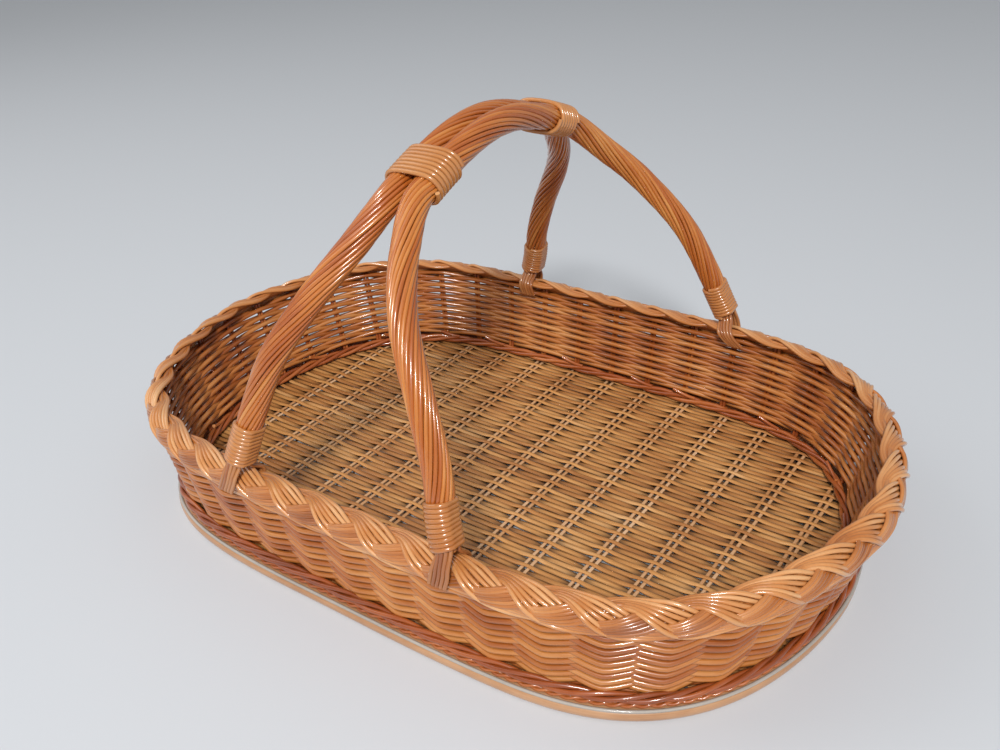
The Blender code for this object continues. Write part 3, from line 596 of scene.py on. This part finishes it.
# The stakes' tips run on along the wall inside the plait, and fill it.
tips = []
for place in PLAIT_CORE_PLACES:
    aside = place + wander(plait_turns, PLAIT_CORE_DRIFT)
    course = plait_middle + plait_across * aside[:, None] - plait_facing * PLAIT_CORE_DEPTH
    girth = 1 + wander(plait_turns, GIRTH_DRIFT)
    tips.append((course, True, girth, random.uniform(*PLAIT_CORE_SHADES)))
core = lay_rods("plait_core_rods", tips, PLAIT_CORE_THICKNESS, border_willow)


# The bows: two thick rods bent over the tray, each with eighteen long thin rods laid round
# it in a slow right-handed twist, as a rope is laid. Their feet stand on the border.

HANDLE_TOP_HEIGHT = 0.2722
BOW_SPACING = 0.0173
BOW_THICKNESS = 0.0170
BOW_FOOT_THICKNESS = 0.0092
BOW_TAPER_LENGTH = 0.0100
BOUND_LENGTH = 0.0200
BOW_RODS = 18
BOW_ROD_THICKNESS = 0.0026
BOW_LAY_PITCH = 0.2000
FEET = {"left": (-0.0810, -0.0830), "right": (0.0830, 0.0960)}
PLAIT_RADIUS = 0.0122
LEG_RISE_SHARES = (0.0, 0.082, 0.219, 0.398, 0.604, 0.768, 0.892)
LEG_SPREAD_SHARES = (1.0, 0.930, 0.831, 0.648, 0.340, 0.110, 0.0)
LEG_REACH_SHARES = (1.0, 0.980, 0.936, 0.887, 0.784, 0.627, 0.459)
BOW_STATIONS = 140
BOW_TURN_SPREAD = 0.06
BOW_GIRTH_DRIFT = 0.04
BOW_GIRTH_SPREAD = 0.04
BOW_DRIFT = 0.00015
BOW_SHADES = (0.3, 0.75)
BOW_CORE_SHADE = 0.1
BOW_CORE_INSET = 0.8
PATH_SAMPLES = 400

bow_willow = varnished_willow(
    "varnished_willow_bows", ("#863c14", "#ae5b21", "#c57835", "#d99b56"),
    roughness=0.20, streak_depth=0.6)
foot_height = (RIM_HEIGHT + RIM_END_RISE * (FEET["right"][1] / RIM_HALF_LENGTH) ** 2
               + PLAIT_RADIUS)
rim_line = outline(1.0)


def foot_share(x, far):
    """Share of the way round the border at which a foot stands."""
    half = rim_line[rim_line[:, 2] > 0.0] if far else rim_line[rim_line[:, 2] < 0.0]
    if not far:
        half = np.vstack((half[half[:, 0] > 0.5] - [1.0, 0, 0, 0, 0], half[half[:, 0] <= 0.5]))
    order = np.argsort(half[:, 1])
    return float(np.interp(x, half[order, 1], half[order, 0]))


def leg_points(foot_x, far, side):
    """Points of one leg, from its foot up to the last one before the top."""
    station = tray_frame([foot_share(foot_x, far)], [RIM_HEIGHT])[0][0]
    top_x = side * BOW_SPACING / 2
    rise, spread, reach = (np.array(shares) for shares in
                           (LEG_RISE_SHARES, LEG_SPREAD_SHARES, LEG_REACH_SHARES))
    return np.column_stack((top_x + (foot_x - top_x) * spread, station[1] * reach,
                            foot_height + (HANDLE_TOP_HEIGHT - foot_height) * rise))


def smooth_path(knots):
    """A closely sampled curve through the points, with its running length in column 0."""
    chord = np.concatenate(([0.0], np.cumsum(np.linalg.norm(np.diff(knots, axis=0), axis=1))))
    rate = np.diff(knots, axis=0) / np.diff(chord)[:, None]
    before, after = rate[:-1], rate[1:]
    alike = before * after > 0
    mean = 2 * before * after / np.where(alike, before + after, 1.0)
    slopes = np.vstack((rate[:1], np.where(alike, mean, 0.0), rate[-1:]))
    places = np.linspace(0.0, chord[-1], PATH_SAMPLES + 1)
    index = np.clip(np.searchsorted(chord, places, side="right") - 1, 0, len(knots) - 2)
    span = (chord[index + 1] - chord[index])[:, None]
    part = (places - chord[index])[:, None] / span
    curve = ((2 * part ** 3 - 3 * part ** 2 + 1) * knots[index]
             + (part ** 3 - 2 * part ** 2 + part) * span * slopes[index]
             + (3 * part ** 2 - 2 * part ** 3) * knots[index + 1]
             + (part ** 3 - part ** 2) * span * slopes[index + 1])
    run = np.concatenate(([0.0], np.cumsum(np.linalg.norm(np.diff(curve, axis=0), axis=1))))
    return np.column_stack((run, curve))


def path_frames(path, places):
    """Points on a path, the ways sideways from it, and the third ways."""
    step = path[-1, 0] / PATH_SAMPLES

    def at(run):
        """Points at running lengths."""
        return np.column_stack([np.interp(run, path[:, 0], path[:, k]) for k in range(1, 4)])

    low = np.clip(places - step, 0.0, path[-1, 0] - 2 * step)
    forward = unit(at(low + 2 * step) - at(low))
    sideways = unit(np.array((1.0, 0.0, 0.0)) - forward * forward[:, :1])
    return at(places), sideways, np.cross(forward, sideways)


bow_paths = {}
for name, (near_x, far_x) in FEET.items():
    side = -1 if name == "left" else 1
    near = leg_points(near_x, False, side)
    far = leg_points(far_x, True, side)
    top = np.array([(side * BOW_SPACING / 2, 0.0, HANDLE_TOP_HEIGHT)])
    path = smooth_path(np.vstack((near, top, far[::-1])))
    bow_paths[name] = path
    length = path[-1, 0]
    places = np.linspace(0.0, length, BOW_STATIONS)
    middle, sideways, third = path_frames(path, places)
    from_foot = np.minimum(places, length - places)
    fullness = np.clip((from_foot - BOUND_LENGTH) / BOW_TAPER_LENGTH, 0.0, 1.0)
    radius = (BOW_FOOT_THICKNESS + (BOW_THICKNESS - BOW_FOOT_THICKNESS) * fullness) / 2
    lay = 2 * math.pi * places / BOW_LAY_PITCH
    rods = []
    for rod in range(BOW_RODS):
        turn = 2 * math.pi * (rod + random.normal(0.0, BOW_TURN_SPREAD)) / BOW_RODS + lay
        girth = ((radius / BOW_THICKNESS * 2 + wander(places / length, BOW_GIRTH_DRIFT))
                 * random.normal(1, BOW_GIRTH_SPREAD))
        out = radius - BOW_ROD_THICKNESS / 2 * girth + wander(places / length, BOW_DRIFT)
        points = (middle + sideways * (out * np.cos(turn))[:, None]
                  + third * (out * np.sin(turn))[:, None])
        rods.append((points, False, girth, random.uniform(*BOW_SHADES)))
    piece = lay_rods(f"{name}_bow_rods", rods, BOW_ROD_THICKNESS, bow_willow)
    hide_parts(f"{name}_bow")
    core = lay_rods(f"{name}_bow_core",
                    [(middle, False, radius / BOW_THICKNESS * 2, BOW_CORE_SHADE)],
                    BOW_THICKNESS - 2 * BOW_CORE_INSET * BOW_ROD_THICKNESS, bow_willow,
                    rounding=4)


# The leg bindings: a thin rod wound ten times round the foot of each leg, over the tails
# that leave the bow there. The turns lie close together and are the glossiest part.

BINDING_ROD_THICKNESS = 0.0029
BINDING_PITCH = 0.0032
LEG_BINDING_PITCH = 0.00265
LEG_TURNS = 10
LEG_BINDING_LIFT = 0.0012
TAIL_RING = 0.0059
LEG_HALF_SIDE = 0.0074
LEG_BINDING_SHADE = 0.5
LOOP_STATIONS = 32
TAIL_ROD_THICKNESS = 0.0026

binding_willow = varnished_willow(
    "varnished_willow_bindings", ("#8c461b", "#af6830", "#c5864d", "#d9a570"),
    roughness=0.18, streak_depth=0.4)
for name, path in bow_paths.items():
    for end in ("near", "far"):
        count = LEG_TURNS * LOOP_STATIONS
        theta = 2 * math.pi * np.arange(count + 1) / LOOP_STATIONS
        places = (LEG_BINDING_LIFT + BINDING_ROD_THICKNESS / 2
                  + LEG_BINDING_PITCH * np.arange(count + 1) / LOOP_STATIONS)
        if end == "far":
            places = path[-1, 0] - places
        middle, sideways, third = path_frames(path, places)
        reach = TAIL_RING + TAIL_ROD_THICKNESS / 2 + BINDING_ROD_THICKNESS / 2
        across = np.clip(-reach * np.sin(theta), -LEG_HALF_SIDE, LEG_HALF_SIDE)
        points = (middle + sideways * across[:, None]
                  + third * (reach * np.cos(theta))[:, None])
        piece = lay_rods(f"{end}_{name}_leg_turns", [(points, False, 1.0, LEG_BINDING_SHADE)],
                         BINDING_ROD_THICKNESS, binding_willow, rounding=3)
        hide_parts(f"{end}_{name}_binding")


# The tails: five rod ends of the bow that come out side by side below each binding, on the
# outer and the inner side of the leg. They go down over the border and are cut off square.
# TAIL_COURSES gives two points of a tail, where it crosses the border and where it ends, as
# far out and up from the border's middle. TAIL_SLANTS says how far each tail leans along the
# border, as a share of its length there.

TAIL_RODS = 5
TAIL_TOP = 0.0264
TAIL_COURSES = {"outer": ((0.0078, 0.0030), (0.0082, -0.0085)),
                "inner": ((-0.0134, 0.0019), (-0.0102, -0.0085))}
TAIL_END_LENGTH = 0.0105
TAIL_CROWN_RADIUS = 0.0800
TAIL_STATIONS = 30
TAIL_SLANT_START = 0.0060
TAIL_SLANTS = {"near_left_outer": 0.55, "near_left_inner": -0.10, "near_right_outer": 0.25,
               "near_right_inner": 0.20, "far_left_outer": 0.20, "far_left_inner": -0.10,
               "far_right_outer": -0.20, "far_right_inner": -0.85}

tail_willow = varnished_willow(
    "varnished_willow_tails", ("#783b16", "#9f5c2d", "#b97a46", "#cd9868"),
    roughness=0.26, streak_depth=0.7)
for name, path in bow_paths.items():
    for end in ("near", "far"):
        from_far = end == "far"
        foot = path[-1, 1:] if from_far else path[0, 1:]
        border, outward = (ways[0] for ways in
                           tray_frame([foot_share(foot[0], from_far)], [RIM_HEIGHT]))
        for face in ("outer", "inner"):
            sign = 1 if face == "outer" else -1
            places = np.array((TAIL_TOP, TAIL_TOP / 2, LEG_BINDING_LIFT))
            if from_far:
                places = path[-1, 0] - places
            spots, sideways, third = path_frames(path, places)
            away = third * np.sign((third @ outward) * sign)[:, None]
            stations = [(spot + way * TAIL_RING, sidewise, way, TAIL_RING)
                        for spot, sidewise, way in zip(spots, sideways, away)]
            along = np.cross(outward, upward) if from_far else np.cross(upward, outward)
            slant = -along * TAIL_SLANTS[f"{end}_{name}_{face}"]
            leans = (TAIL_SLANT_START, TAIL_SLANT_START + TAIL_END_LENGTH)
            for (out, up), lean in zip(TAIL_COURSES[face], leans):
                stations.append((border + outward * out + upward * up + slant * lean, along,
                                 outward * sign, TAIL_CROWN_RADIUS))
            rods = []
            for rod in range(TAIL_RODS):
                offset = (rod - (TAIL_RODS - 1) / 2) * TAIL_ROD_THICKNESS
                knots = []
                for spot, sidewise, way, curl in stations:
                    bend = offset / curl
                    knots.append(spot + (way * (math.cos(bend) - 1) + sidewise * math.sin(bend))
                                 * curl)
                course = smooth_path(np.array(knots))[::PATH_SAMPLES // TAIL_STATIONS, 1:]
                rods.append((course, False, 1.0, random.uniform(*BOW_SHADES)))
            piece = lay_rods(f"{end}_{name}_{face}_rod_ends", rods, TAIL_ROD_THICKNESS,
                             tail_willow)
            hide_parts(f"{end}_{name}_{face}_tail")


# The top bindings: a rod wound round both bows at each end of the stretch that they share,
# eight turns on the near side and seven on the far side.

TOP_BINDING_REACH = 0.0650
TOP_TURNS = {"near": 8, "far": 7}
TOP_LOOP_SQUARENESS = 3
TOP_BINDING_SHADE = 0.6

pair_near = leg_points(FEET["right"][0], False, 1) * (0, 1, 1)
pair_far = leg_points(FEET["right"][0], True, 1) * (0, 1, 1)
pair_path = smooth_path(np.vstack((pair_near, [(0.0, 0.0, HANDLE_TOP_HEIGHT)], pair_far[::-1])))
for end, turn_count in TOP_TURNS.items():
    side = -1 if end == "near" else 1
    reach = np.interp(side * TOP_BINDING_REACH, pair_path[:, 2], pair_path[:, 0])
    count = turn_count * LOOP_STATIONS
    theta = 2 * math.pi * np.arange(count + 1) / LOOP_STATIONS
    places = reach + BINDING_PITCH * (np.arange(count + 1) / LOOP_STATIONS - turn_count / 2)
    middle, sideways, third = path_frames(pair_path, places)
    loop = BOW_THICKNESS / 2 + BINDING_ROD_THICKNESS / 2
    across = loop * np.cos(theta) + BOW_SPACING / 2 * np.tanh(TOP_LOOP_SQUARENESS * np.cos(theta))
    points = (middle + sideways * across[:, None] + third * (loop * np.sin(theta))[:, None])
    piece = lay_rods(f"{end}_top_turns", [(points, False, 1.0, TOP_BINDING_SHADE)],
                     BINDING_ROD_THICKNESS, binding_willow, rounding=3)
    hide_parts(f"{end}_top_binding")


# The floor and the light: a plain pale floor, a soft lamp high up behind the camera, which
# gives the varnish its bright lines, a weak wide one from the left, and an even pale surround.

FLOOR_HALF = 6.0
FLOOR_ROUGHNESS = 0.8
SURROUND_STRENGTH = 0.45
LAMP_AIM = (0.0, 0.0, 0.05)
LAMP_SPREAD = math.radians(130.0)

bpy.ops.mesh.primitive_plane_add(size=2 * FLOOR_HALF, location=(0.0, 0.0, 0.0))
floor = bpy.context.object
floor.name = "floor"
floor_paint = bpy.data.materials.new("pale_matt_floor")
floor_paint.use_nodes = True
floor_shader = floor_paint.node_tree.nodes["Principled BSDF"]
floor_shader.inputs["Base Color"].default_value = colour("#d0d3d7")
floor_shader.inputs["Roughness"].default_value = FLOOR_ROUGHNESS
floor.data.materials.append(floor_paint)

world = bpy.data.worlds.new("surround")
bpy.context.scene.world = world
world.use_nodes = True
background = world.node_tree.nodes["Background"]
background.inputs["Color"].default_value = colour("#e6e8ea")
background.inputs["Strength"].default_value = SURROUND_STRENGTH


def add_lamp(name, place, size, power):
    """A square lamp, aimed at the tray."""
    lamp = bpy.data.lights.new(name, "AREA")
    lamp.shape = "SQUARE"
    lamp.size = size
    lamp.energy = power
    lamp.spread = LAMP_SPREAD
    holder = bpy.data.objects.new(name, lamp)
    holder.location = place
    holder.rotation_mode = "QUATERNION"
    holder.rotation_quaternion = (Vector(place) - Vector(LAMP_AIM)).to_track_quat("Z", "Y")
    bpy.context.scene.collection.objects.link(holder)


add_lamp("key_lamp", (1.38, -2.32, 2.60), size=0.60, power=57.0)
add_lamp("fill_lamp", (-1.6, -0.6, 1.5), size=1.6, power=5.0)


# The camera: it stands where the photograph was taken from, turned a little about its axis.

CAMERA_PLACE = (0.35965, -0.49596, 0.44252)
CAMERA_FORWARD = (-0.51001, 0.70284, -0.49588)
CAMERA_ROLL = math.radians(-2.771)
CAMERA_LENS = 36.31
CAMERA_SENSOR = 36.0
CAMERA_CLIP_START = 0.01

camera = bpy.data.objects.new("camera", bpy.data.cameras.new("camera"))
camera.data.lens = CAMERA_LENS
camera.data.sensor_width = CAMERA_SENSOR
camera.data.clip_start = CAMERA_CLIP_START
forward = Vector(CAMERA_FORWARD).normalized()
right = forward.cross(Vector((0.0, 0.0, 1.0))).normalized()
up = right.cross(forward)
rolled_right = right * math.cos(CAMERA_ROLL) + up * math.sin(CAMERA_ROLL)
rolled_up = -right * math.sin(CAMERA_ROLL) + up * math.cos(CAMERA_ROLL)
camera.matrix_world = Matrix.Translation(Vector(CAMERA_PLACE)) @ Matrix(
    (rolled_right, rolled_up, -forward)).transposed().to_4x4()
bpy.context.scene.collection.objects.link(camera)
bpy.context.scene.camera = camera
bpy.context.scene.view_settings.view_transform = "Standard"
